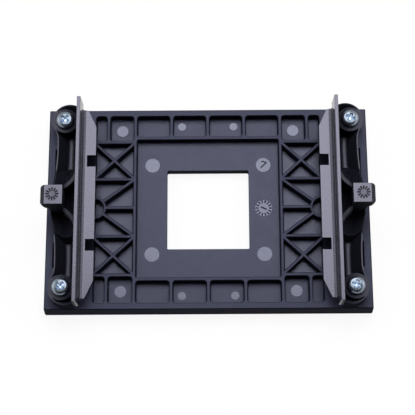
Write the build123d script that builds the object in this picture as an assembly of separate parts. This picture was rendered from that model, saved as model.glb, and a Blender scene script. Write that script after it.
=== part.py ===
# Retention bracket set for a desktop processor socket.
# A ribbed backplate carries two clip brackets, held by four screws in threaded inserts.
# Millimetres, +Z up, origin at the middle of the backplate's underside.
import os
from math import atan2, degrees, hypot, radians, tan

from build123d import *

# Screw pattern of the socket
hole_spacing_x = 90.0
hole_spacing_y = 54.0

# Backplate outline
plate_margin_x = 5.8
plate_margin_y = 5.7
plate_thickness = 6.2
plate_draft = 3.5
plate_corner_break = 0.4
plate_edge_break = 0.25

# Backplate ribs, pockets, recess and window
border_width = 2.05
rib_width = 1.1
pocket_depth = 2.9
pocket_corner_break = 0.3
opening_corner_radius = 0.5
recess_size = 45.2
recess_depth = 2.55
window_size = 26.0
side_field_width = 12.1
corner_pocket_width = 7.5
corner_pocket_depth = 8.3
brace_cell_depth = 11.3
hub_radius = 2.8
hub_wall = 0.9

# Narrow slots in the plate's top beside each bracket's waist
foot_slot_inset = 1.5
foot_slot_reach = 3.42
foot_slot_start = 11.5
foot_slot_end = 19.3
foot_slot_depth = 1.0

# Round ejector marks on the pocket floors and the recess floor
mark_height = 0.1
corner_mark_radius = 1.9
row_mark_radius = 1.35
row_mark_x = 8.3
row_mark_y = 27.95
recess_mark_radius = 2.4
recess_mark_x = 17.7
recess_mark_y = 14.7

# Bracket trough: heights above the plate, walls and outline
base_height = 5.9
trough_floor = 1.0
trough_end = 9.6
trough_slope = 29.0
trough_floor_radius = 1.1
trough_underrun = 0.9
saddle_floor = 3.2
saddle_slope = 48.0
rim_wall = 0.4
boss_radius = 4.0
lobe_shift = 1.3
lobe_radius = 5.5
waist_reach = 2.3
waist_blend_radius = 8.0
lug_seat_reach = 3.8
lug_seat_length = 8.0
lug_flare_radius = 60.0

# Bracket wall and inner flange
wall_setback = 4.16
wall_height = 12.7
wall_thickness = 1.1
wall_top_radius = 0.12
wall_draft_growth = 0.25
wall_overhang = 5.75
wall_free_bottom = 5.4
flange_reach = 4.3
flange_thickness = 1.7
flange_overhang = 3.5
flange_fillet = 1.4
flange_chamfer_x = 2.6
flange_chamfer_y = 5.6
notch_spacing = 27.25
notch_length = 3.75
notch_depth = 2.75

# Clip lug and its gussets
lug_height = 14.8
lug_width = 6.0
lug_inner_setback = 0.7
lug_nose_reach = 6.1
lug_nose_chamfer = 1.3
lug_nose_thickness = 4.4
lug_nose_undercut = 1.1
lug_corner_radius = 0.8
gusset_radius = 7.7
gusset_wall = 1.1
gusset_wall_height = 10.0
gusset_lug_height = 11.0
gusset_pocket_floor = 3.0

# Screws and threaded inserts
screw_diameter = 3.0
screw_length = 11.0
screw_tip_chamfer = 0.4
screw_head_diameter = 5.6
screw_head_height = 2.1
screw_head_edge = 0.55
screw_hole_clearance = 0.2
drive_span = 3.3
drive_slot = 0.8
drive_depth = 1.4
drive_taper = 8.0
insert_diameter = 5.0
insert_shoulder_flats = 7.0
insert_shoulder_height = 1.2
insert_clearance = 0.05
thread_clearance = 0.05

# Places that several pieces share
hole_x = hole_spacing_x / 2
hole_y = hole_spacing_y / 2
plate_length = hole_spacing_x + 2 * plate_margin_x
plate_depth = hole_spacing_y + 2 * plate_margin_y
tolerance = 0.01
corners = {
    "rear_left": (-hole_x, hole_y),
    "rear_right": (hole_x, hole_y),
    "front_left": (-hole_x, -hole_y),
    "front_right": (hole_x, -hole_y),
}
quadrants = [(1, 1), (-1, 1), (-1, -1), (1, -1)]


def box_face(x_low, x_high, y_low, y_high):
    """Rectangle between two X and two Y limits."""
    width = x_high - x_low
    depth = y_high - y_low
    return Pos((x_low + x_high) / 2, (y_low + y_high) / 2) * Rectangle(width, depth)


def strip_face(start, end, width):
    """Straight band of one width between two points, run past both ends."""
    run_x = end[0] - start[0]
    run_y = end[1] - start[1]
    turn = degrees(atan2(run_y, run_x))
    middle = ((start[0] + end[0]) / 2, (start[1] + end[1]) / 2)
    return Pos(*middle) * Rot(0, 0, turn) * Rectangle(2 * hypot(run_x, run_y), width)


def quadrant_pockets():
    """Pocket outlines of the quarter with positive X and Y."""
    recess_half = recess_size / 2
    outer_y = plate_depth / 2 - border_width
    row_inner_y = recess_half + rib_width
    row_width = (recess_half - 1.5 * rib_width) / 2
    first_x = rib_width / 2
    second_x = first_x + row_width + rib_width
    side_x = recess_half + rib_width
    side_end = side_x + side_field_width
    corner_y = outer_y - corner_pocket_depth
    squares = [
        box_face(first_x, first_x + row_width, row_inner_y, outer_y),
        box_face(second_x, recess_half, row_inner_y, outer_y),
        box_face(side_x, side_x + corner_pocket_width, corner_y, outer_y),
        box_face(side_x + corner_pocket_width + rib_width, side_end, corner_y, outer_y),
    ]
    pockets = [chamfer(square.vertices(), pocket_corner_break) for square in squares]

    # Square cell crossed by two diagonal ribs
    cell_high = corner_y - rib_width
    cell_low = cell_high - brace_cell_depth
    brace = box_face(side_x, side_end, cell_low, cell_high)
    brace -= strip_face((side_x, cell_low), (side_end, cell_high), rib_width)
    brace -= strip_face((side_x, cell_high), (side_end, cell_low), rib_width)
    pockets += list(brace.faces())

    # Cell beside the hub, split by the diagonal that runs to the hub's centre
    hub_cell = box_face(side_x, side_end, rib_width / 2, cell_low - rib_width)
    corner_node = (side_x - rib_width / 2, cell_low - rib_width / 2)
    hub_cell -= strip_face(corner_node, (side_end, 0), rib_width)
    hub_cell -= Pos(side_end, 0) * Circle(hub_radius + hub_wall)
    pockets += list(hub_cell.faces())
    return pockets


def hub_pocket():
    """Half-round pocket inside the hub on the positive X side."""
    side_end = recess_size / 2 + rib_width + side_field_width
    disc = Pos(side_end, 0) * Circle(hub_radius)
    half = box_face(side_end - hub_radius, side_end, -hub_radius, hub_radius)
    return disc & half


def mark_places():
    """Centre, radius and floor depth of each ejector mark in the positive quarter."""
    corner_x = recess_size / 2 + rib_width + corner_pocket_width / 2
    corner_y = plate_depth / 2 - border_width - corner_pocket_depth / 2
    return [
        (corner_x, corner_y, corner_mark_radius, pocket_depth),
        (row_mark_x, row_mark_y, row_mark_radius, pocket_depth),
        (recess_mark_x, recess_mark_y, recess_mark_radius, recess_depth),
    ]


def make_backplate():
    """Moulded plate with ribbed top, square recess and window."""
    growth = plate_thickness * tan(radians(plate_draft))
    foot_length = plate_length + 2 * growth
    foot_depth = plate_depth + 2 * growth
    foot = chamfer(Rectangle(foot_length, foot_depth).vertices(), plate_corner_break)
    plate = extrude(foot, plate_thickness, taper=plate_draft)
    plate = chamfer(plate.faces().sort_by(Axis.Z)[-1].edges(), plate_edge_break)

    top = Pos(0, 0, plate_thickness)
    quarter = [extrude(pocket, pocket_depth, dir=(0, 0, -1)) for pocket in quadrant_pockets()]
    half = quarter + [mirror(pocket, Plane.YZ) for pocket in quarter]
    pockets = half + [mirror(pocket, Plane.XZ) for pocket in half]
    hub = extrude(hub_pocket(), pocket_depth, dir=(0, 0, -1))
    pockets += [hub, mirror(hub, Plane.YZ)]
    plate -= [top * pocket for pocket in pockets]

    recess = RectangleRounded(recess_size, recess_size, opening_corner_radius)
    window = RectangleRounded(window_size, window_size, opening_corner_radius)
    plate -= top * extrude(recess, recess_depth, dir=(0, 0, -1))
    plate -= extrude(window, plate_thickness)

    slot = box_face(hole_x + foot_slot_inset, hole_x + foot_slot_reach, foot_slot_start, foot_slot_end)
    slot = extrude(slot, foot_slot_depth, dir=(0, 0, -1))
    slots = [slot, mirror(slot, Plane.XZ)]
    slots += [mirror(one, Plane.YZ) for one in slots]
    plate -= [top * one for one in slots]

    for x, y, radius, depth in mark_places():
        for mirror_x, mirror_y in quadrants:
            place = Pos(mirror_x * x, mirror_y * y, plate_thickness - depth)
            plate += place * extrude(Circle(radius), mark_height)

    for x, y in corners.values():
        bore = Circle(insert_diameter / 2 + insert_clearance)
        seat = RegularPolygon(insert_shoulder_flats / 2 + insert_clearance, 6, major_radius=False)
        plate -= Pos(x, y) * extrude(bore, plate_thickness)
        plate -= Pos(x, y) * extrude(seat, insert_shoulder_height)
    return plate


def bracket_outline(inset):
    """Plan of the trough, shrunk by an inset, with the lug seat bulging outward."""
    wall_outer = hole_x - wall_setback
    wall_inner = wall_outer - wall_thickness - wall_draft_growth
    waist = hole_x + waist_reach - inset
    lobe_x = hole_x - lobe_shift
    reach = hole_y + lobe_radius
    plan = box_face(wall_inner, waist, -hole_y, hole_y)
    for side in (1, -1):
        plan += Pos(lobe_x, side * hole_y) * Circle(lobe_radius - inset)
    plan &= box_face(wall_inner, lobe_x + lobe_radius, -reach, reach)
    necks = [v for v in plan.vertices() if abs(v.X - waist) < tolerance and abs(v.Y) < hole_y]
    plan = fillet(necks, waist_blend_radius + inset)

    # Seat of the lug, joined to the waist by two wide hollow curves
    seat = hole_x + lug_seat_reach - inset
    rise = lug_seat_reach - waist_reach
    flare = (2 * lug_flare_radius * rise - rise**2) ** 0.5
    flare_y = lug_seat_length / 2 + flare
    bulge = box_face(waist - rim_wall, seat, -flare_y, flare_y)
    for side in (1, -1):
        hollow = Circle(lug_flare_radius + inset)
        bulge -= Pos(waist + lug_flare_radius + inset, side * flare_y) * hollow
    return plan + bulge


def make_hollow(plan, depth, slope):
    """Hollow below a plan at Z = 0, its sides sloping inward by an angle from the vertical."""
    hollow = extrude(plan, depth, dir=(0, 0, -1))
    sides = [face for face in hollow.faces() if abs(face.normal_at().Z) < tolerance]
    return draft(sides, Plane.XY, -slope)


def make_trough(wall_outer):
    """Hollow from the saddle round the rear boss, with sloping sides and a round floor."""
    reach = hole_y + lobe_radius
    nose = hole_x + lug_nose_reach
    plan = bracket_outline(rim_wall)
    plan &= box_face(wall_outer - trough_underrun, nose, trough_end, reach)
    depth = base_height - trough_floor
    trough = make_hollow(plan, depth, trough_slope)
    trough = fillet(trough.edges().group_by(Axis.Z)[0], trough_floor_radius)
    trough &= extrude(box_face(wall_outer, nose, 0, reach), depth, dir=(0, 0, -1))
    return Pos(0, 0, base_height) * trough


def make_saddle(wall_outer):
    """Shallow hollow with sloping sides at the foot of the lug."""
    depth = base_height - saddle_floor
    half = trough_end + depth * tan(radians(saddle_slope))
    plan = bracket_outline(rim_wall)
    plan &= box_face(wall_outer, hole_x + lug_nose_reach, -half, half)
    return Pos(0, 0, base_height) * make_hollow(plan, depth, saddle_slope)


def make_bracket():
    """One-piece clip bracket on the positive X side, standing on Z = 0."""
    wall_outer = hole_x - wall_setback
    wall_inner = wall_outer - wall_thickness
    base_inner = wall_inner - wall_draft_growth
    flange_inner = base_inner - flange_reach
    flange_bottom = base_height - flange_thickness
    wall_half = hole_y + wall_overhang
    flange_half = hole_y + flange_overhang

    # Two troughs and the shallower saddle between them
    trough = make_trough(wall_outer)
    body = extrude(bracket_outline(0), base_height)
    body -= [trough, mirror(trough, Plane.XZ), make_saddle(wall_outer)]
    for side in (1, -1):
        body += Pos(hole_x, side * hole_y) * extrude(Circle(boss_radius), base_height)

    # Tall wall, thicker toward its foot, with free ends past the trough
    wall_section = Plane.XZ * Polygon(
        (wall_inner, wall_height),
        (wall_outer, wall_height),
        (wall_outer, wall_free_bottom),
        (base_inner, wall_free_bottom),
        align=None,
    )
    wall = extrude(wall_section, wall_half, both=True)
    wall = fillet(wall.edges().filter_by(Axis.Y).group_by(Axis.Z)[-1], wall_top_radius)
    body += wall

    # Inner flange with a hollow fillet to the wall, chamfered ends and two notches
    with BuildSketch(Plane.XZ) as flange_section:
        with BuildLine():
            Line((base_inner, base_height + flange_fillet), (wall_outer, base_height + flange_fillet))
            Line((wall_outer, base_height + flange_fillet), (wall_outer, flange_bottom))
            Line((wall_outer, flange_bottom), (flange_inner, flange_bottom))
            Line((flange_inner, flange_bottom), (flange_inner, base_height))
            Line((flange_inner, base_height), (base_inner - flange_fillet, base_height))
            RadiusArc(
                (base_inner - flange_fillet, base_height),
                (base_inner, base_height + flange_fillet),
                -flange_fillet,
            )
        make_face()
    flange = extrude(flange_section.sketch, flange_half, both=True)
    plan = box_face(flange_inner, wall_outer, -flange_half, flange_half)
    for side in (1, -1):
        plan -= Polygon(
            (flange_inner, side * (flange_half - flange_chamfer_y)),
            (flange_inner, side * flange_half),
            (flange_inner + flange_chamfer_x, side * flange_half),
            align=None,
        )
        middle = side * notch_spacing / 2
        plan -= box_face(
            flange_inner,
            flange_inner + notch_depth,
            middle - notch_length / 2,
            middle + notch_length / 2,
        )
    body += flange & extrude(plan, wall_height)

    body = body + make_lug(wall_outer)
    for side in (1, -1):
        hole = Circle(screw_diameter / 2 + screw_hole_clearance)
        body -= Pos(hole_x, side * hole_y) * extrude(hole, base_height)
    return body


def make_lug(wall_outer):
    """Clip lug on its column, with two curved gussets that run to the wall."""
    lug_inner = hole_x - lug_inner_setback
    nose = hole_x + lug_nose_reach
    seat = hole_x + lug_seat_reach
    nose_low = lug_height - lug_nose_thickness
    section = Plane.XZ * Polygon(
        (lug_inner, 0),
        (seat, 0),
        (seat, nose_low - lug_nose_undercut),
        (nose - lug_nose_undercut, nose_low),
        (nose, lug_height - lug_nose_chamfer),
        (nose - lug_nose_chamfer, lug_height),
        (lug_inner, lug_height),
        align=None,
    )
    lug = extrude(section, lug_width / 2, both=True)
    plan = box_face(lug_inner, nose, -lug_width / 2, lug_width / 2)
    plan = fillet([v for v in plan.vertices() if v.X > hole_x], lug_corner_radius)
    lug &= extrude(plan, lug_height)

    # Bell-shaped block between the lug and the wall, hollowed to two gussets
    half = lug_width / 2
    spread = half + gusset_radius
    bell = box_face(wall_outer, lug_inner, -spread, spread)
    pit = box_face(wall_outer, lug_inner, -spread, spread)
    for side in (1, -1):
        centre = Pos(wall_outer + gusset_radius, side * spread)
        bell -= centre * Circle(gusset_radius)
        pit -= centre * Circle(gusset_radius + gusset_wall)
    roof = Plane.YZ.offset(wall_outer) * Polygon(
        (-spread, 0),
        (spread, 0),
        (spread, gusset_wall_height),
        (half, gusset_lug_height),
        (-half, gusset_lug_height),
        (-spread, gusset_wall_height),
        align=None,
    )
    block = extrude(bell, lug_height) & extrude(roof, lug_inner - wall_outer)
    block -= Pos(0, 0, gusset_pocket_floor) * extrude(pit, lug_height)
    return lug + block


def make_screw():
    """Pan-head screw with a cross recess, its seat under the head at Z = 0."""
    head = extrude(Circle(screw_head_diameter / 2), screw_head_height)
    head = chamfer(head.edges().group_by(Axis.Z)[-1], screw_head_edge)
    shank = extrude(Circle(screw_diameter / 2), screw_length, dir=(0, 0, -1))
    shank = chamfer(shank.edges().group_by(Axis.Z)[0], screw_tip_chamfer)
    cross = Rectangle(drive_span, drive_slot) + Rectangle(drive_slot, drive_span)
    recess = extrude(cross, drive_depth, dir=(0, 0, -1), taper=drive_taper)
    return head + shank - Pos(0, 0, screw_head_height) * recess


def make_insert():
    """Threaded sleeve with a hexagonal shoulder, standing on Z = 0."""
    sleeve = extrude(Circle(insert_diameter / 2), plate_thickness)
    hexagon = RegularPolygon(insert_shoulder_flats / 2, 6, major_radius=False)
    shoulder = extrude(hexagon, insert_shoulder_height)
    bore = extrude(Circle(screw_diameter / 2 + thread_clearance), plate_thickness)
    return sleeve + shoulder - bore


nodes = {"backplate": make_backplate()}
bracket = Pos(0, 0, plate_thickness) * make_bracket()
nodes["right_bracket"] = bracket
nodes["left_bracket"] = Rot(0, 0, 180) * bracket
screw_seat = plate_thickness + base_height
for corner, (x, y) in corners.items():
    nodes[corner + "_screw"] = Pos(x, y, screw_seat) * make_screw()
    nodes[corner + "_insert"] = Pos(x, y) * make_insert()

os.makedirs("parts", exist_ok=True)
for name, piece in nodes.items():
    export_step(piece, os.path.join("parts", name + ".step"))
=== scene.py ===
from math import cos, pi, radians, sin

import bmesh
import bpy
from mathutils import Matrix, Vector
from mathutils.geometry import delaunay_2d_cdt


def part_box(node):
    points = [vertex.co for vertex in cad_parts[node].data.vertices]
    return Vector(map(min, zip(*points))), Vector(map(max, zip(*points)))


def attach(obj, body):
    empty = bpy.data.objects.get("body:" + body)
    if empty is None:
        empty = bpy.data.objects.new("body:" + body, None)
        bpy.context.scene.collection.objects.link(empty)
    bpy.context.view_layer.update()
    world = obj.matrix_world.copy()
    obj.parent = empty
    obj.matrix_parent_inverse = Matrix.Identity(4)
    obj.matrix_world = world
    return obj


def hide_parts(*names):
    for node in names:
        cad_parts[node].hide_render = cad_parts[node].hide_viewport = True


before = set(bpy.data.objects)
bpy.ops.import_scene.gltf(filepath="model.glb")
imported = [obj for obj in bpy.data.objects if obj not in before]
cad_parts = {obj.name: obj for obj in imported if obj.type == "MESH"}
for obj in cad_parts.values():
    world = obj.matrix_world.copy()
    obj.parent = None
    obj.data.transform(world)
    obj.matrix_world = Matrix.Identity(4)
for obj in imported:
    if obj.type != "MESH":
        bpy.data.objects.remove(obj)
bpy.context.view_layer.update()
mm = 0.001
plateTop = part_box("backplate")[1].z
plateLevel = plateTop / mm
screwAxis = sum(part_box("rear_right_screw"), Vector()) / 2 * Vector((1, 1, 0))
print("frame loaded,", len(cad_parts), "nodes")


# Small helpers for meshes and shader trees

def pieceName(node):
    first, *others = node.split("_")
    return first + "".join(word.capitalize() for word in others)


def finishMesh(bm, name, material, smoothAngle):
    mesh = bpy.data.meshes.new(name)
    bm.to_mesh(mesh)
    bm.free()
    mesh.shade_smooth()
    mesh.set_sharp_from_angle(angle=radians(smoothAngle))
    mesh.materials.append(material)
    piece = bpy.data.objects.new(name, mesh)
    bpy.context.scene.collection.objects.link(piece)
    weighted = piece.modifiers.new("faceNormals", "WEIGHTED_NORMAL")
    weighted.keep_sharp = True
    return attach(piece, "root")


def addNode(tree, kind, **settings):
    node = tree.nodes.new(kind)
    for key, value in settings.items():
        setattr(node, key, value)
    return node


def feed(tree, socket, value):
    if hasattr(value, "is_output"):
        tree.links.new(value, socket)
    else:
        socket.default_value = value


def mathNode(tree, operation, *values, clamp=False):
    node = addNode(tree, "ShaderNodeMath", operation=operation, use_clamp=clamp)
    for socket, value in zip(node.inputs, values):
        feed(tree, socket, value)
    return node.outputs[0]


def vectorNode(tree, operation, *values):
    node = addNode(tree, "ShaderNodeVectorMath", operation=operation)
    for socket, value in zip(node.inputs, values):
        feed(tree, socket, value)
    return node.outputs["Value" if operation == "DISTANCE" else "Vector"]


def mixColor(tree, factor, first, second):
    node = addNode(tree, "ShaderNodeMix", data_type="RGBA")
    for number, value in zip((0, 6, 7), (factor, first, second)):
        feed(tree, node.inputs[number], value)
    return node.outputs[2]


def mixValue(tree, factor, first, second):
    node = addNode(tree, "ShaderNodeMix", data_type="FLOAT")
    for number, value in zip((0, 2, 3), (factor, first, second)):
        feed(tree, node.inputs[number], value)
    return node.outputs[0]


def layered(tree, value, *layers):
    for mask, over in layers:
        value = mixValue(tree, mask, value, over)
    return value


def ramp(tree, value, low, high):
    node = addNode(tree, "ShaderNodeMapRange")
    feed(tree, node.inputs["Value"], value)
    node.inputs["From Min"].default_value = low
    node.inputs["From Max"].default_value = high
    return node.outputs["Result"]


# Zones of a surface, with their edges in mm

softEdge = 0.1


def zone(tree, value, low, high):
    return ramp(tree, value, low * mm, high * mm)


def beyond(tree, value, edge):
    return zone(tree, value, edge, edge + softEdge)


def short(tree, value, edge):
    return zone(tree, value, edge, edge - softEdge)


def below(tree, height, top, depths):
    return zone(tree, height, *(top - depth for depth in depths))


def both(tree, first, *others):
    for mask in others:
        first = mathNode(tree, "MULTIPLY", first, mask)
    return first


def readMask(tree, name):
    return addNode(tree, "ShaderNodeAttribute", attribute_name=name).outputs["Fac"]


def foldPlace(tree, coords):
    folded = vectorNode(tree, "ABSOLUTE", coords)
    split = addNode(tree, "ShaderNodeSeparateXYZ")
    tree.links.new(folded, split.inputs[0])
    return folded, split.outputs


def awayFlat(tree, folded, place):
    flat = vectorNode(tree, "MULTIPLY", folded, (1, 1, 0))
    return vectorNode(tree, "DISTANCE", flat, place)


def startMaterial(name):
    material = bpy.data.materials.new(name)
    material.use_nodes = True
    tree = material.node_tree
    shader = tree.nodes["Principled BSDF"]
    coords = addNode(tree, "ShaderNodeTexCoord").outputs["Object"]
    return material, tree, shader, coords


# Grain and cloudy mottle, shared by all materials

grainShape = {"grainDetail": 3.0, "cloudDetail": 4.0, "cloudRoughness": 0.6, "grainShare": 0.55}


def makeGrainGroup(v):
    group = bpy.data.node_groups.new("mouldGrain", "ShaderNodeTree")
    face = group.interface
    face.new_socket("Vector", in_out="INPUT", socket_type="NodeSocketVector")
    for name in ("Grain Scale", "Cloud Scale"):
        face.new_socket(name, in_out="INPUT", socket_type="NodeSocketFloat")
    for name in ("Height", "Mottle"):
        face.new_socket(name, in_out="OUTPUT", socket_type="NodeSocketFloat")
    source = addNode(group, "NodeGroupInput")
    result = addNode(group, "NodeGroupOutput")
    grain = addNode(group, "ShaderNodeTexNoise")
    grain.inputs["Detail"].default_value = v["grainDetail"]
    cloud = addNode(group, "ShaderNodeTexNoise")
    cloud.inputs["Detail"].default_value = v["cloudDetail"]
    cloud.inputs["Roughness"].default_value = v["cloudRoughness"]
    for noise, name in ((grain, "Grain Scale"), (cloud, "Cloud Scale")):
        group.links.new(source.outputs["Vector"], noise.inputs["Vector"])
        group.links.new(source.outputs[name], noise.inputs["Scale"])
    group.links.new(grain.outputs["Fac"], result.inputs["Height"])
    blend = mixValue(group, v["grainShare"], cloud.outputs["Fac"], grain.outputs["Fac"])
    group.links.new(blend, result.inputs["Mottle"])
    return group


def placeGrain(tree, coords, v):
    node = addNode(tree, "ShaderNodeGroup", node_tree=grainGroup)
    tree.links.new(coords, node.inputs["Vector"])
    node.inputs["Grain Scale"].default_value = v["grainScale"]
    node.inputs["Cloud Scale"].default_value = v["cloudScale"]
    color = mixColor(tree, node.outputs["Mottle"], v["dark"], v["light"])
    return node, color


def setSurface(tree, shader, grain, v, rough):
    spread = mathNode(tree, "MULTIPLY_ADD", grain.outputs["Mottle"], v["mottle"], rough)
    feed(tree, shader.inputs["Roughness"], spread)
    bump = addNode(tree, "ShaderNodeBump")
    bump.inputs["Strength"].default_value = v["bump"]
    bump.inputs["Distance"].default_value = v["bumpDepth"]
    tree.links.new(grain.outputs["Height"], bump.inputs["Height"])
    tree.links.new(bump.outputs["Normal"], shader.inputs["Normal"])


def setGloss(shader, v):
    shader.inputs["IOR"].default_value = v["ior"]
    shader.inputs["Specular Tint"].default_value = v["tint"]


plateFinish = {
    "dark": (0.0085, 0.0105, 0.030, 1),
    "light": (0.0125, 0.0150, 0.041, 1),
    "tint": (0.78, 0.80, 1.0, 1),
    "ior": 1.66,
    "specular": 0.5,
    "topRoughness": 0.56,
    "topZone": (0.6, 0.3),  # mm below the plate's top
    "upperZone": (4.0, 3.5),
    "floorRoughness": 0.39,
    "floorSpecular": 0.38,
    "sideRoughness": 0.32,
    "sideStart": (23.6, 24.2),  # mm from the middle, floors of the side pockets
    "sideEnd": (23.2, 22.6),
    "discRoughness": 0.16,
    "steepRoughness": 0.8,
    "steepSpecular": 0.05,
    # painted shade: pocket walls and the plate's sides take this darker colour
    "steepColor": (0.008, 0.009, 0.016, 1),
    "notch": (35.6, 41.0, 20.0),  # mm: painted shadow on the plate under the flanges, seen only through the flange notches
    "mottle": 0.22,
    "grainScale": 3200.0,
    "cloudScale": 420.0,
    "bump": 0.5,
    "bumpDepth": 0.00004,
    "discs": [(27.45, 26.5, 1.9), (8.3, 27.95, 1.35), (17.7, 14.7, 2.4)],  # mm in each quarter
    "discSoftness": 0.12,
}

bracketFinish = {
    "dark": (0.0105, 0.0110, 0.0175, 1),
    "light": (0.0145, 0.0150, 0.0225, 1),
    "tint": (0.80, 0.79, 1.0, 1),
    "ior": 1.69,
    "roughness": 0.24,
    "specular": 0.5,
    "troughRoughness": 0.46,
    "troughSpecular": 0.42,
    "troughStart": 40.95,  # mm from the middle
    "rimHeight": 5.9,  # mm above the plate
    "rimMargin": 0.15,
    "saddleReach": (10.0, 11.0),  # mm along the bracket
    "saddleSpecular": 0.0,
    "bossReach": (22.0, 23.0),
    "bossAcross": (43.5, 48.0),  # mm from the middle, dull near the wall
    "bossSpecular": (0.03, 0.28),
    "gussetTop": 12.6,
    "gussetSpecular": 0.2,
    "steepRoughness": 0.55,
    "steepSpecular": 0.0,
    "wallFace": (39.2, 40.2, 12.4),  # mm: inner face of the wall and its top
    "wallRoughness": 0.08,
    "polishRoughness": 0.2,
    "lugStart": 43.5,
    "lugHeight": 14.8,
    "lugFaceZone": (0.06, 0.02),  # mm below the lug's top
    "lugRoughness": 0.28,
    "lugSideSpecular": 0.08,
    "wheel": (47.4, 0.1, 2.05),  # mm: place and radius
    "wheelRoughness": 0.38,
    "mottle": 0.07,
    "grainScale": 4200.0,
    "cloudScale": 180.0,
    "bump": 0.06,
    "bumpDepth": 0.00003,
}


def makePlatePlastic(v):
    material, tree, shader, coords = startMaterial("mattePlatePlastic")
    grain, color = placeGrain(tree, coords, v)
    folded, (across, along, height) = foldPlace(tree, coords)
    top = below(tree, height, plateLevel, v["topZone"])
    upper = below(tree, height, plateLevel, v["upperZone"])
    # Painted shadow: the plate under the flanges, seen through their notches, is darkened
    near, far, reach = v["notch"]
    strip = both(tree, beyond(tree, across, near), short(tree, across, far))
    notch = both(tree, strip, short(tree, along, reach), top)
    # Painted shade: steep walls and sides, together with the strip under the flanges, take the
    # darker colour
    steep = mathNode(tree, "MAXIMUM", readMask(tree, "steep"), notch)
    color = mixColor(tree, steep, color, v["steepColor"])
    feed(tree, shader.inputs["Base Color"], color)

    # Smooth ejector discs, the same in each quarter of the plate
    discs = 0.0
    for x, y, radius in v["discs"]:
        away = awayFlat(tree, folded, (x * mm, y * mm, 0))
        disc = zone(tree, away, radius, radius - v["discSoftness"])
        discs = mathNode(tree, "MAXIMUM", discs, disc)
    discs = both(tree, discs, upper)

    # Rib tops are duller than the floors, the side floors smoother and the walls coarse
    side = both(tree, zone(tree, across, *v["sideStart"]), zone(tree, along, *v["sideEnd"]), upper)
    rough = layered(
        tree, v["floorRoughness"], (side, v["sideRoughness"]), (top, v["topRoughness"]),
        (discs, v["discRoughness"]), (steep, v["steepRoughness"]),
    )
    bright = mathNode(tree, "MAXIMUM", top, discs)
    shine = layered(
        tree, v["floorSpecular"], (bright, v["specular"]), (steep, v["steepSpecular"]),
    )
    feed(tree, shader.inputs["Specular IOR Level"], shine)
    setSurface(tree, shader, grain, v, rough)
    setGloss(shader, v)
    return material


def makeBracketPlastic(v):
    material, tree, shader, coords = startMaterial("satinBracketPlastic")
    grain, color = placeGrain(tree, coords, v)
    feed(tree, shader.inputs["Base Color"], color)

    # Zones by place: trough with saddle and bosses, gussets, lug, inner face of the wall
    folded, (across, along, height) = foldPlace(tree, coords)
    lugTop = plateLevel + v["lugHeight"]
    outer = beyond(tree, across, v["troughStart"])
    low = short(tree, height, plateLevel + v["rimHeight"] + v["rimMargin"])
    trough = both(tree, outer, low)
    under = short(tree, height, plateLevel + v["gussetTop"])
    gusset = both(tree, outer, mathNode(tree, "SUBTRACT", under, low))
    lug = beyond(tree, across, v["lugStart"])
    lugFace = both(tree, lug, below(tree, height, lugTop, v["lugFaceZone"]))
    raised = both(tree, lug, mathNode(tree, "SUBTRACT", 1.0, low))
    lugSide = mathNode(tree, "SUBTRACT", raised, lugFace)
    x, y, radius = v["wheel"]
    away = vectorNode(tree, "DISTANCE", folded, (x * mm, y * mm, lugTop * mm))
    wheel = short(tree, away, radius)
    near, far, wallTop = v["wallFace"]
    wall = both(tree, beyond(tree, across, near), short(tree, across, far))
    wall = both(tree, wall, short(tree, height, plateLevel + wallTop))
    steep, polish = readMask(tree, "steep"), readMask(tree, "polish")

    rough = layered(
        tree, v["roughness"], (trough, v["troughRoughness"]), (gusset, v["troughRoughness"]),
        (steep, v["steepRoughness"]), (wall, v["wallRoughness"]), (lugFace, v["lugRoughness"]),
        (wheel, v["wheelRoughness"]), (polish, v["polishRoughness"]),
    )
    boss = mixValue(tree, zone(tree, across, *v["bossAcross"]), *v["bossSpecular"])
    hollow = layered(
        tree, v["saddleSpecular"], (zone(tree, along, *v["saddleReach"]), v["troughSpecular"]),
        (zone(tree, along, *v["bossReach"]), boss),
    )
    shine = layered(
        tree, v["specular"], (trough, hollow), (gusset, v["gussetSpecular"]),
        (lugSide, v["lugSideSpecular"]), (steep, v["steepSpecular"]), (polish, v["specular"]),
    )
    feed(tree, shader.inputs["Specular IOR Level"], shine)
    setSurface(tree, shader, grain, v, rough)
    setGloss(shader, v)
    return material


metalFinish = {
    "grainScale": 6000.0,
    "mottle": 0.18,
    "bump": 0.15,
    "bumpDepth": 0.00002,
    "skirtBlend": 0.35,  # mm
}
zincFinish = {
    **metalFinish,
    "dark": (0.09, 0.108, 0.135, 1),
    "light": (0.14, 0.163, 0.195, 1),
    # painted reflection: the screw's dome takes a lighter tone than its face
    "skirt": (0.26, 0.31, 0.37, 1),
    "skirtRadius": 1.65,  # mm from each screw's axis
    # painted highlight: the cross recess takes a far lighter tone
    "deep": (0.66, 0.75, 0.86, 1),
    "deepHeight": 13.95,  # mm above the ground, where the recess begins
    "roughness": 0.22,
    "cloudScale": 900.0,
}
brassFinish = {
    **metalFinish,
    "dark": (0.52, 0.38, 0.16, 1),
    "light": (0.74, 0.58, 0.29, 1),
    "skirt": (0.42, 0.30, 0.12, 1),
    "skirtRadius": 2.6,
    "roughness": 0.3,
    "cloudScale": 700.0,
}


def makeMetal(name, v):
    material, tree, shader, coords = startMaterial(name)
    grain, color = placeGrain(tree, coords, v)

    # Other tones in the recess and away from each fastener's axis; on the screws these are a
    # painted highlight in the recess and a painted reflection on the dome
    folded, places = foldPlace(tree, coords)
    if "deep" in v:
        color = mixColor(tree, short(tree, places["Z"], v["deepHeight"]), color, v["deep"])
    away = awayFlat(tree, folded, screwAxis)
    skirt = zone(tree, away, v["skirtRadius"], v["skirtRadius"] + v["skirtBlend"])
    feed(tree, shader.inputs["Base Color"], mixColor(tree, skirt, color, v["skirt"]))
    shader.inputs["Metallic"].default_value = 1.0
    setSurface(tree, shader, grain, v, v["roughness"])
    return material


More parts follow.
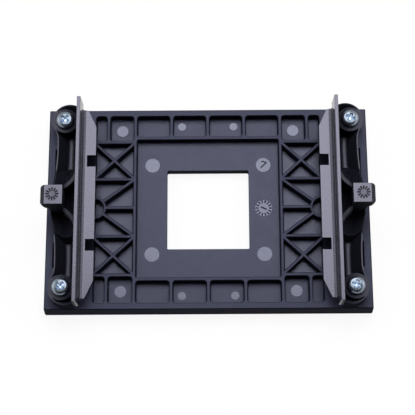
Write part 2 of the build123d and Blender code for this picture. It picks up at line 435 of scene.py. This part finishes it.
wheelFinish = {
    "tint": plateFinish["tint"],
    "ior": plateFinish["ior"],
    "mottle": 0.08,
    "grainScale": 4200.0,
    "cloudScale": 400.0,
    "bump": 0.1,
    "bumpDepth": 0.00003,
}
discFinish = {
    **wheelFinish,
    "dark": (0.016, 0.020, 0.044, 1),
    "light": (0.024, 0.028, 0.055, 1),
    "roughness": 0.26,
}
tickFinish = {
    **wheelFinish,
    "dark": (0.006, 0.007, 0.014, 1),
    "light": (0.010, 0.011, 0.020, 1),
    "roughness": 0.82,
}


def makeWheelPlastic(name, v):
    material, tree, shader, coords = startMaterial(name)
    grain, color = placeGrain(tree, coords, v)
    feed(tree, shader.inputs["Base Color"], color)
    setSurface(tree, shader, grain, v, v["roughness"])
    setGloss(shader, v)
    return material


grainGroup = makeGrainGroup(grainShape)
platePlastic = makePlatePlastic(plateFinish)
bracketPlastic = makeBracketPlastic(bracketFinish)
screwZinc = makeMetal("bluishZinc", zincFinish)
insertBrass = makeMetal("turnedBrass", brassFinish)
wheelPlastic = makeWheelPlastic("smoothWheel", discFinish)
tickPlastic = makeWheelPlastic("coarseTicks", tickFinish)
print("materials made")


# Mouldings: the solids with their sharp edges eased, as a mould leaves them

easing = {
    "weld": 0.002,  # mm
    "flatAngle": 0.4,  # degrees
    "sharpAngle": 32,
    "chosenRoom": 1.2,  # length of eased neighbours, as a multiple of the width
    "otherRoom": 2.5,
    "slack": 0.01,  # mm, within which places count as the same
    "levelSlack": 0.001,
    "endFacing": 0.9,  # faces that look along the brackets are marked steep too
    "endSteep": 0.9,
}
levelFill = {"flatNormal": 0.999, "fewestCorners": 9, "weld": 1e-5, "seamAngle": 0.1}


def bevelEdges(bm, edges, width, segments=2, even=False):
    bmesh.ops.bevel(
        bm, geom=edges, offset=width * mm, offset_type="OFFSET", segments=segments,
        profile=0.5, affect="EDGES", clamp_overlap=not even, loop_slide=not even, material=-1,
    )


def sharpEdges(bm, angle=easing["sharpAngle"]):
    whole = [edge for edge in bm.edges if len(edge.link_faces) == 2]
    return [edge for edge in whole if edge.calc_face_angle() > radians(angle)]


def roomy(edges, width):
    chosen = dict.fromkeys(edges)
    kept = []
    for edge in edges:
        beside = [other for vert in edge.verts for other in vert.link_edges]
        needs = [easing["chosenRoom" if other in chosen else "otherRoom"] for other in beside]
        if all(other.calc_length() > need * width * mm for other, need in zip(beside, needs)):
            kept.append(edge)
    return kept


def cleanCopy(node):
    bm = bmesh.new()
    bm.from_mesh(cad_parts[node].data)
    bmesh.ops.remove_doubles(bm, verts=bm.verts, dist=easing["weld"] * mm)
    flat = radians(easing["flatAngle"])
    bmesh.ops.dissolve_limit(bm, angle_limit=flat, verts=bm.verts, edges=bm.edges)
    return bm


def markSteep(bm, v, highest, nearest=0):
    layer = bm.faces.layers.float.new("steep")
    bm.normal_update()
    for face in bm.faces:
        centre = face.calc_center_median()
        if centre.z < highest and abs(centre.x) >= nearest:
            steep = (v["steepFrom"] - abs(face.normal.z)) / v["steepSpread"]
            face[layer] = min(max(steep, 0), 1)
        elif abs(face.normal.y) > easing["endFacing"]:
            face[layer] = easing["endSteep"]


def cutAway(bm, cutter):
    pieces = []
    for source in (bm, cutter):
        data = bpy.data.meshes.new("cutting")
        source.to_mesh(data)
        source.free()
        piece = bpy.data.objects.new("cutting", data)
        bpy.context.scene.collection.objects.link(piece)
        pieces.append(piece)
    cut = pieces[0].modifiers.new("cut", "BOOLEAN")
    cut.operation = "DIFFERENCE"
    cut.solver = "EXACT"
    cut.object = pieces[1]
    result = bmesh.new()
    result.from_object(pieces[0], bpy.context.evaluated_depsgraph_get())
    for piece in pieces:
        data = piece.data
        bpy.data.objects.remove(piece)
        bpy.data.meshes.remove(data)
    return result


def addBar(bm, place, width, length, low, high):
    corners = [(x * length / 2, y * width / 2) for x, y in ((1, -1), (1, 1), (-1, 1), (-1, -1))]
    rings = [[bm.verts.new(place @ Vector((x, y, z))) for x, y in corners] for z in (low, high)]
    faces = [bm.faces.new(rings[0][::-1]), bm.faces.new(rings[1])]
    for i in range(4):
        faces.append(bm.faces.new((rings[0][i - 1], rings[0][i], rings[1][i], rings[1][i - 1])))
    return faces


def addTickRing(bm, v, centre, low, high):
    for step in range(v["ticks"]):
        turn = Matrix.Rotation(2 * pi * step / v["ticks"], 4, "Z")
        out = Matrix.Translation((v["tickRadius"], 0, 0))
        place = Matrix.Translation((*centre, 0)) @ turn @ out
        addBar(bm, place, v["tickWidth"], v["tickLength"], low, high)


plateShape = {
    "piece": "ribbedBackplate",
    "cornerBreak": 0.62,  # mm, widest flat that stands for a rounded pocket corner
    "cornerStraight": 0.75,  # cosine between walls that are nearly in line
    "cornerRound": 0.9,
    "cornerShare": 0.45,  # largest part of a wall that the rounding takes
    "cornerSteps": 4,
    "topEase": 0.25,
    "outline": (50.0, 32.0),  # mm from the middle, edges beyond stay sharp
    "floorEase": 0.25,
    "easeSteps": 3,
    "markLimit": 0.15,  # mm, lower walls belong to raised discs and stay sharp
    "steepFrom": 0.98,
    "steepSpread": 0.05,
    "smoothAngle": 35,
}
bracketShape = {
    "left_bracket": "leftClipBracket",
    "right_bracket": "rightClipBracket",
    "ease": 0.1,
    "easeRoom": 0.32,  # mm, width whose room an edge needs to be eased
    "rimEase": 0.13,
    "rimSteps": 3,
    "rimHeight": bracketFinish["rimHeight"],
    "rimSlack": 0.02,
    "rimStart": 42.0,  # mm from the middle
    "bossClear": 4.3,  # rim edges lie farther than this from a screw's axis
    "bossRadius": 4.0,
    "bossSlack": 0.05,
    "bossEase": 0.55,
    "bossRoom": 0.2,
    "bossSteps": 4,
    "polishDepth": 0.005,
    "polishFacing": (0.1, 0.98),
    "outside": bracketFinish["troughStart"],
    "steepFrom": 0.93,
    "steepSpread": 0.3,
    "smoothAngle": 25,
}
lugWheel = {
    "centre": bracketFinish["wheel"][:2],  # mirrored for the left lug
    "ticks": 12,
    "tickRadius": 1.5,
    "tickWidth": 0.42,
    "tickLength": 1.1,
    "depth": 0.3,
    "clear": 1.0,
}


def besideMark(edge, v):
    for face in edge.link_faces:
        heights = [vert.co.z for vert in face.verts]
        if 0 < max(heights) - min(heights) < v["markLimit"] * mm:
            return True
    return False


def upright(edge):
    first, second = edge.verts
    return (first.co - second.co).xy.length < easing["slack"] * mm


def splitEdge(first, last, points):
    made = [first]
    for point in points:
        edge = [e for e in made[-1].link_edges if e.other_vert(made[-1]) is last][0]
        vert = bmesh.utils.edge_split(edge, made[-1], 0.5)[1]
        vert.co.x, vert.co.y = point
        made.append(vert)
    return made[1:]


def roundCorners(bm, v):
    flats = []
    for face in bm.faces:
        sides = [edge for edge in face.edges if upright(edge)]
        if len(face.verts) != 4 or len(sides) != 2 or any(edge.is_convex for edge in sides):
            continue
        walls = [other for edge in sides for other in edge.link_faces if other is not face]
        (a, b), (c, d) = [wall.normal.xy.normalized() for wall in walls]
        places = [side.verts[0].co.xy for side in sides]
        p, q = a * places[0].x + b * places[0].y, c * places[1].x + d * places[1].y
        width = (places[0] - places[1]).length / mm
        if width < v["cornerBreak"] and a * c + b * d < v["cornerStraight"]:
            whole = a * d - b * c
            corner = Vector(((p * d - q * b) / whole, (a * q - c * p) / whole))
            reaches = [max((vert.co.xy - corner).length for vert in wall.verts) for wall in walls]
            reach = min(v["cornerRound"] * mm, v["cornerShare"] * min(reaches))
            flats.append((sides, corner, reach))
    for sides, corner, reach in flats:
        ways = [(side.verts[0].co.xy - corner).normalized() for side in sides]
        ends = [corner + way * reach for way in ways]
        half = ways[0].angle(ways[1]) / 2
        middle = corner + (ways[0] + ways[1]).normalized() * reach / cos(half)
        spokes = [end - middle for end in ends]
        steps = v["cornerSteps"]
        points = []
        for step in range(1, steps):
            spoke = spokes[0].lerp(spokes[1], step / steps)
            points.append(middle + spoke.normalized() * spokes[0].length)
        lows, highs = zip(*(sorted(side.verts, key=lambda vert: vert.co.z) for side in sides))
        for pair in (lows, highs):
            for vert, end in zip(pair, ends):
                vert.co.x, vert.co.y = end
        for low, high in zip(splitEdge(*lows, points), splitEdge(*highs, points)):
            shared = [f for f in low.link_faces if f in high.link_faces]
            bmesh.utils.face_split(shared[0], low, high)
    bm.normal_update()


def onLevel(edge, height):
    return all(abs(vert.co.z - height) < easing["slack"] * mm for vert in edge.verts)


def onOutline(edge, v):
    x, y = (edge.verts[0].co.xy + edge.verts[1].co.xy) / 2 / mm
    return abs(x) > v["outline"][0] or abs(y) > v["outline"][1]


def within(point, bounds):
    inside = False
    for a, b in bounds:
        if (a.y > point.y) != (b.y > point.y):
            if point.x < a.x + (b.x - a.x) * (point.y - a.y) / (b.y - a.y):
                inside = not inside
    return inside


def fillLevels(bm, v):
    bm.normal_update()
    levels = {}
    for face in bm.faces:
        if abs(face.normal.z) > v["flatNormal"]:
            key = (round(face.calc_center_median().z / mm, 2), face.normal.z > 0)
            levels.setdefault(key, []).append(face)
    for (height, up), faces in levels.items():
        if max(len(face.verts) for face in faces) < v["fewestCorners"]:
            continue
        bmesh.ops.delete(bm, geom=faces, context="FACES")
        rims = [edge for edge in bm.edges if edge.is_boundary and onLevel(edge, height * mm)]
        verts = list(dict.fromkeys(vert for edge in rims for vert in edge.verts))
        places = {vert: number for number, vert in enumerate(verts)}
        pairs = [tuple(places[vert] for vert in edge.verts) for edge in rims]
        points = [vert.co.xy / mm for vert in verts]
        bounds = [(points[a], points[b]) for a, b in pairs]
        spots, _, loops, origins, _, _ = delaunay_2d_cdt(points, pairs, [], 0, v["weld"])
        made = []
        for spot, origin in zip(spots, origins):
            verts.append(verts[origin[0]] if origin else bm.verts.new((*spot * mm, height * mm)))
        for loop in loops:
            middle = sum((spots[number] for number in loop), Vector((0, 0))) / 3
            if not within(middle, bounds):
                continue
            corners = [verts[len(places) + number] for number in loop]
            made.append(bm.faces.new(corners if up else corners[::-1]))
            made[-1].normal_update()
        seams = dict.fromkeys(edge for face in made for edge in face.edges)
        seams = [edge for edge in seams if len(edge.link_faces) == 2]
        flat = radians(v["seamAngle"])
        bmesh.ops.dissolve_limit(bm, angle_limit=flat, verts=[], edges=seams)


def easePlate(bm, v):
    slack = easing["levelSlack"] * mm
    tall = [edge for edge in sharpEdges(bm) if not besideMark(edge, v)]
    level = [edge for edge in tall if abs(edge.verts[0].co.z - edge.verts[1].co.z) < slack]
    floors = [edge for edge in level if not edge.is_convex]
    rims = [edge for edge in level if edge.is_convex and not onOutline(edge, v)]
    rims = [edge for edge in rims if onLevel(edge, 0) or onLevel(edge, plateTop)]
    bevelEdges(bm, floors, v["floorEase"], v["easeSteps"], True)
    rims = [edge for edge in rims if edge.is_valid]
    bevelEdges(bm, rims, v["topEase"], v["easeSteps"], True)
    fillLevels(bm, levelFill)
    bmesh.ops.holes_fill(bm, edges=[edge for edge in bm.edges if edge.is_boundary], sides=0)


def makeBackplate(v):
    bm = cleanCopy("backplate")
    roundCorners(bm, v)
    easePlate(bm, v)
    markSteep(bm, v, plateTop)
    piece = finishMesh(bm, v["piece"], platePlastic, v["smoothAngle"])
    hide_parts("backplate")


def fromScrew(point):
    return (Vector((abs(point.x), abs(point.y), 0)) - screwAxis).length / mm


def belowRim(point, v):
    return plateLevel + v["rimHeight"] - point.z / mm


def onRim(edge, v):
    return all(
        abs(belowRim(vert.co, v)) <= v["rimSlack"]
        and abs(vert.co.x) >= v["rimStart"] * mm
        and fromScrew(vert.co) >= v["bossClear"]
        for vert in edge.verts
    )


def onBoss(edge, v):
    return all(
        abs(belowRim(vert.co, v)) <= v["rimSlack"]
        and abs(fromScrew(vert.co) - v["bossRadius"]) <= v["bossSlack"]
        for vert in edge.verts
    )


def markPolish(bm, v):
    layer = bm.faces.layers.float.new("polish")
    inner, outer = v["bossRadius"] - v["bossEase"], v["bossRadius"] + v["rimSlack"]
    low, high = v["polishFacing"]
    for face in bm.faces:
        centre = face.calc_center_median()
        boss = inner < fromScrew(centre) < outer
        depth = v["bossEase"] if boss else v["rimEase"]
        sloped = low < face.normal.z < high
        outside = abs(centre.x) > v["rimStart"] * mm
        if outside and sloped and v["polishDepth"] < belowRim(centre, v) < depth:
            face[layer] = 1


def makeBracket(node, v, wheel):
    bm = cleanCopy(node)
    bosses = [edge for edge in sharpEdges(bm) if onBoss(edge, v)]
    bevelEdges(bm, roomy(bosses, v["bossRoom"]), v["bossEase"], v["bossSteps"])
    rim = [edge for edge in sharpEdges(bm) if onRim(edge, v)]
    bevelEdges(bm, roomy(rim, v["rimEase"]), v["rimEase"], v["rimSteps"])
    outer = [edge for edge in sharpEdges(bm) if edge.is_convex]
    bevelEdges(bm, roomy(outer, v["easeRoom"]), v["ease"])

    # Ring of ticks cut in the lug's top
    x, y = wheel["centre"]
    side = -1 if node.startswith("left") else 1
    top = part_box(node)[1].z / mm
    cutter = bmesh.new()
    addTickRing(cutter, wheel, (side * x, y), top - wheel["depth"], top + wheel["clear"])
    cutter.transform(Matrix.Scale(mm, 4))
    bm = cutAway(bm, cutter)
    markSteep(bm, v, plateTop + v["rimHeight"] * mm, v["outside"] * mm)
    markPolish(bm, v)
    piece = finishMesh(bm, v[node], bracketPlastic, v["smoothAngle"])
    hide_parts(node)


makeBackplate(plateShape)
makeBracket("left_bracket", bracketShape, lugWheel)
makeBracket("right_bracket", bracketShape, lugWheel)
print("mouldings eased")


# Mould wheel on the recess floor: smooth disc, ring of ticks and a pointer bar

recessWheel = {
    "centre": (17.63, 0.32),
    "floor": 2.55,  # mm below the plate's top
    "sunk": 0.1,  # mm of the disc inside the plate
    "radius": 2.75,
    "height": 0.06,
    "edge": 0.05,
    "steps": 64,
    "ticks": 14,
    "tickRadius": 2.12,
    "tickWidth": 0.46,
    "tickLength": 0.95,
    "tickHeight": 0.05,
    "tickAngle": 60,
    "tickEase": 0.02,
    "bar": (0.5, 2.1),
    "barTurn": -25,
    "arrow": (18.75, 15.55),
    "arrowBars": [(43, 2.6), (-15, 1.7)],  # turn in degrees and length in mm from the tip
    "arrowWidth": 0.42,
    "arrowBase": 0.1,
    "smoothAngle": 30,
}
spinWeld = 0.0005  # mm


def spinProfile(bm, points, steps):
    verts = [bm.verts.new((radius, 0, z)) for radius, z in points]
    edges = [bm.edges.new(pair) for pair in zip(verts, verts[1:])]
    bmesh.ops.spin(
        bm, geom=verts + edges, cent=(0, 0, 0), axis=(0, 0, 1), angle=2 * pi, steps=steps,
        use_merge=True,
    )
    bmesh.ops.remove_doubles(bm, verts=bm.verts, dist=spinWeld)
    bmesh.ops.recalc_face_normals(bm, faces=bm.faces)


def makeRecessWheel(v):
    floor = plateLevel - v["floor"]
    foot, top = floor - v["sunk"], floor + v["height"]
    bm = bmesh.new()
    profile = [(0, foot), (v["radius"], foot), (v["radius"], top - v["edge"])]
    profile += [(v["radius"] - v["edge"], top), (0, top)]
    spinProfile(bm, profile, v["steps"])
    bm.transform(Matrix.Scale(mm, 4) @ Matrix.Translation((*v["centre"], 0)))
    finishMesh(bm, "mouldWheel", wheelPlastic, v["smoothAngle"])

    bm = bmesh.new()
    high = top + v["tickHeight"]
    addTickRing(bm, v, v["centre"], floor, high)
    turn = Matrix.Rotation(radians(v["barTurn"]), 4, "Z")
    addBar(bm, Matrix.Translation((*v["centre"], 0)) @ turn, *v["bar"], floor, high)
    head = Matrix.Translation((*v["arrow"], v["arrowBase"]))
    for turn, length in v["arrowBars"]:
        bar = Matrix.Rotation(radians(turn), 4, "Z") @ Matrix.Translation((-length / 2, 0, 0))
        addBar(bm, head @ bar, v["arrowWidth"], length, floor, high - v["height"])
    bmesh.ops.recalc_face_normals(bm, faces=bm.faces)
    bm.transform(Matrix.Scale(mm, 4))
    bevelEdges(bm, sharpEdges(bm, v["tickAngle"]), v["tickEase"], 1)
    finishMesh(bm, "mouldWheelTicks", tickPlastic, v["smoothAngle"])


makeRecessWheel(recessWheel)
print("mould wheel placed")


# Screws with a rounded head, a cross recess and a cut thread

screwShape = {
    "headRadius": 2.8,
    "headHeight": 2.1,
    "footEase": 0.1,
    "skirt": 0.5,
    "faceRadius": 1.6,
    "crown": 0.08,
    "domeSteps": 10,
    "steps": 48,
    "crossSpan": 3.7,
    "crossSlot": 1.25,
    "crossDepth": 1.5,
    "crossTaper": 0.15,
    "crossClear": 0.3,
    "length": 11.0,
    "tip": 0.5,
    "crest": 1.5,
    "root": 1.22,
    "pitch": 0.5,
    "ridge": (0.36, 0.5, 0.86),  # shares of the pitch
    "ridgeSunk": 0.04,
    "coreSunk": 0.1,  # mm of the core inside the head
    "threadSteps": 24,
    "smoothAngle": 35,
}
screwTurns = {
    "rear_left_screw": 50,
    "rear_right_screw": 68,
    "front_left_screw": 47,
    "front_right_screw": 75,
}


def makeHead(v):
    crownFoot = v["headHeight"] - v["crown"]
    profile = [(0, 0), (v["headRadius"] - v["footEase"], 0), (v["headRadius"], v["footEase"])]
    for step in range(v["domeSteps"] + 1):
        angle = pi / 2 * step / v["domeSteps"]
        radius = v["faceRadius"] + (v["headRadius"] - v["faceRadius"]) * cos(angle)
        profile.append((radius, v["skirt"] + (crownFoot - v["skirt"]) * sin(angle)))
    profile.append((0, v["headHeight"]))
    head = bmesh.new()
    spinProfile(head, profile, v["steps"])

    cutter = bmesh.new()
    rings = []
    for scale, rise in ((1, v["crossClear"]), (v["crossTaper"], -v["crossDepth"])):
        z = v["headHeight"] + rise
        a, b = v["crossSpan"] / 2 * scale, v["crossSlot"] / 2 * scale
        ring = []
        for number in range(4):
            turn = Matrix.Rotation(pi / 2 * number, 3, "Z")
            for x, y in ((a, -b), (a, b), (b, b)):
                ring.append(cutter.verts.new(turn @ Vector((x, y, z))))
        rings.append(ring)
    cutter.faces.new(rings[0])
    cutter.faces.new(rings[1][::-1])
    for i in range(len(rings[0])):
        cutter.faces.new((rings[0][i - 1], rings[1][i - 1], rings[1][i], rings[0][i]))
    bmesh.ops.recalc_face_normals(cutter, faces=cutter.faces)
    return cutAway(head, cutter)


def addShank(bm, v):
    end, root, crest, pitch = -v["length"], v["root"], v["crest"], v["pitch"]
    core = [(0, end), (root - v["tip"] / 2, end), (root, end + v["tip"])]
    core += [(root, v["coreSunk"]), (0, v["coreSunk"])]
    spinProfile(bm, core, v["threadSteps"])
    turns = (v["length"] - v["tip"]) / pitch - 1
    inner = root - v["ridgeSunk"]
    upper, lower, foot = (-share * pitch for share in v["ridge"])
    ridge = [(inner, 0), (crest, upper), (crest, lower), (inner, foot)]
    verts = [bm.verts.new((radius, 0, z)) for radius, z in ridge]
    edges = [bm.edges.new(pair) for pair in zip(verts, verts[1:] + verts[:1])]
    steps = round(turns * v["threadSteps"])
    wound = bmesh.ops.spin(
        bm, geom=verts + edges, cent=(0, 0, 0), axis=(0, 0, 1), angle=-2 * pi * turns,
        steps=steps, dvec=(0, 0, -turns * pitch / steps), use_merge=False,
    )
    bm.faces.new(verts)
    bm.faces.new([item for item in wound["geom_last"] if isinstance(item, bmesh.types.BMVert)])
    bmesh.ops.recalc_face_normals(bm, faces=bm.faces)


def makeScrews(v, turns):
    pattern = makeHead(v)
    addShank(pattern, v)
    for node, turn in turns.items():
        low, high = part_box(node)
        seat = (low + high) / 2
        seat.z = high.z - v["headHeight"] * mm
        turned = Matrix.Rotation(radians(turn), 4, "Z") @ Matrix.Scale(mm, 4)
        bm = pattern.copy()
        bm.transform(Matrix.Translation(seat) @ turned)
        piece = finishMesh(bm, pieceName(node), screwZinc, v["smoothAngle"])
        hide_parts(node)
    pattern.free()


makeScrews(screwShape, screwTurns)
print("screws cut")


# Threaded inserts with broken edges

insertShape = {"ease": 0.15, "sharpAngle": 40, "smoothAngle": 30}


def makeInserts(v):
    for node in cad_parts:
        if node.endswith("_insert"):
            bm = cleanCopy(node)
            bevelEdges(bm, sharpEdges(bm, v["sharpAngle"]), v["ease"])
            piece = finishMesh(bm, pieceName(node), insertBrass, v["smoothAngle"])
            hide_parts(node)


makeInserts(insertShape)
print("inserts eased")


# Stage: pale floor, one large soft box above and behind, two dimmer ones at the sides

studio = {
    "floorSize": 6.0,
    "floorDrop": 0.05,  # mm
    "floorColor": (0.95, 0.95, 0.95, 1),
    "floorRoughness": 0.9,
    "shadowLift": 0.9,
    "frontSurround": 0.06,
    "backSurround": 0.3,
    "backBlend": (-0.5, 0.5),
    "sideSurround": 0.8,
    "sideBlend": (0.55, 0.85),
    "boxes": {
        "mainBox": {"place": (0.02, 0.26, 0.6), "size": (0.42, 0.38), "radiance": 6.3},
        "leftBox": {"place": (-0.57, 0.2, 0.46), "size": (0.42, 0.55), "radiance": 1.8},
        "rightBox": {"place": (0.57, 0.2, 0.46), "size": (0.42, 0.55), "radiance": 1.8},
    },
}


def makeFloor(v):
    bm = bmesh.new()
    bmesh.ops.create_grid(bm, x_segments=1, y_segments=1, size=v["floorSize"] / 2)
    mesh = bpy.data.meshes.new("studioFloor")
    bm.to_mesh(mesh)
    bm.free()
    floor = bpy.data.objects.new("studioFloor", mesh)
    floor.location.z = -v["floorDrop"] * mm
    bpy.context.scene.collection.objects.link(floor)
    material = bpy.data.materials.new("paleFloor")
    material.use_nodes = True
    tree = material.node_tree
    shader = tree.nodes["Principled BSDF"]
    shader.inputs["Base Color"].default_value = v["floorColor"]
    shader.inputs["Roughness"].default_value = v["floorRoughness"]
    shader.inputs["Specular IOR Level"].default_value = 0.0

    # Whitened where it is looked at, also in metal, with part of its shadow kept
    path = addNode(tree, "ShaderNodeLightPath")
    seen = path.outputs["Is Camera Ray"]
    for name in ("Is Glossy Ray", "Is Transmission Ray"):
        seen = mathNode(tree, "ADD", seen, path.outputs[name], clamp=True)
    seen = mathNode(tree, "MULTIPLY", seen, v["shadowLift"])
    glow = addNode(tree, "ShaderNodeEmission")
    blend = addNode(tree, "ShaderNodeMixShader")
    tree.links.new(seen, blend.inputs[0])
    tree.links.new(shader.outputs[0], blend.inputs[1])
    tree.links.new(glow.outputs[0], blend.inputs[2])
    tree.links.new(blend.outputs[0], tree.nodes["Material Output"].inputs["Surface"])
    mesh.materials.append(material)


def makeSoftBox(name, v):
    lamp = bpy.data.lights.new(name, "AREA")
    lamp.shape = "RECTANGLE"
    lamp.size, lamp.size_y = v["size"]
    lamp.energy = v["radiance"] * pi * v["size"][0] * v["size"][1]
    box = bpy.data.objects.new(name, lamp)
    box.location = v["place"]
    box.rotation_mode = "QUATERNION"
    box.rotation_quaternion = box.location.to_track_quat("Z", "Y")
    box.visible_camera = False
    bpy.context.scene.collection.objects.link(box)


def makeSurround(v):
    world = bpy.data.worlds.new("studioSurround")
    world.use_nodes = True
    tree = world.node_tree
    split = addNode(tree, "ShaderNodeSeparateXYZ")
    tree.links.new(addNode(tree, "ShaderNodeTexCoord").outputs["Generated"], split.inputs[0])
    behind = ramp(tree, split.outputs["Y"], *v["backBlend"])
    strength = mixValue(tree, behind, v["frontSurround"], v["backSurround"])
    beside = ramp(tree, mathNode(tree, "ABSOLUTE", split.outputs["X"]), *v["sideBlend"])
    strength = mixValue(tree, beside, strength, v["sideSurround"])
    ground = tree.nodes["Background"]
    ground.inputs["Color"].default_value = (1, 1, 1, 1)
    tree.links.new(strength, ground.inputs["Strength"])
    bpy.context.scene.world = world


makeFloor(studio)
for name, v in studio["boxes"].items():
    makeSoftBox(name, v)
makeSurround(studio)
print("stage lit")


# Camera at the photograph's angle

cameraView = {
    "aim": (-0.177, -0.127),  # mm on the plate's top
    "distance": 395.35,
    "tilt": 16.674,  # degrees from straight down
    "pan": -1.0478,
    "roll": 1.3486,
    "focalPixels": 1255.0,
    "imagePixels": 415,
    "sensor": 36.0,
    "clipStart": 0.01,  # m
}


def placeCamera(v):
    tilt, roll = radians(v["tilt"]), radians(v["roll"])
    right = Vector((1, 0, 0))
    up = Vector((0, cos(tilt), sin(tilt)))
    back = Vector((0, -sin(tilt), cos(tilt)))
    turn = Matrix.Rotation(-radians(v["pan"]), 3, "Z")
    axes = (
        turn @ (cos(roll) * right - sin(roll) * up),
        turn @ (sin(roll) * right + cos(roll) * up),
        turn @ back,
    )
    aim = Vector((v["aim"][0] * mm, v["aim"][1] * mm, plateTop))
    place = Matrix.Translation(aim + axes[2] * v["distance"] * mm)
    lens = bpy.data.cameras.new("viewCamera")
    lens.sensor_fit = "HORIZONTAL"
    lens.sensor_width = v["sensor"]
    lens.lens = v["focalPixels"] / v["imagePixels"] * v["sensor"]
    lens.clip_start = v["clipStart"]
    camera = bpy.data.objects.new("viewCamera", lens)
    camera.matrix_world = place @ Matrix(axes).transposed().to_4x4()
    bpy.context.scene.collection.objects.link(camera)
    bpy.context.scene.camera = camera


placeCamera(cameraView)
bpy.context.scene.view_settings.view_transform = "Standard"
print("camera placed")
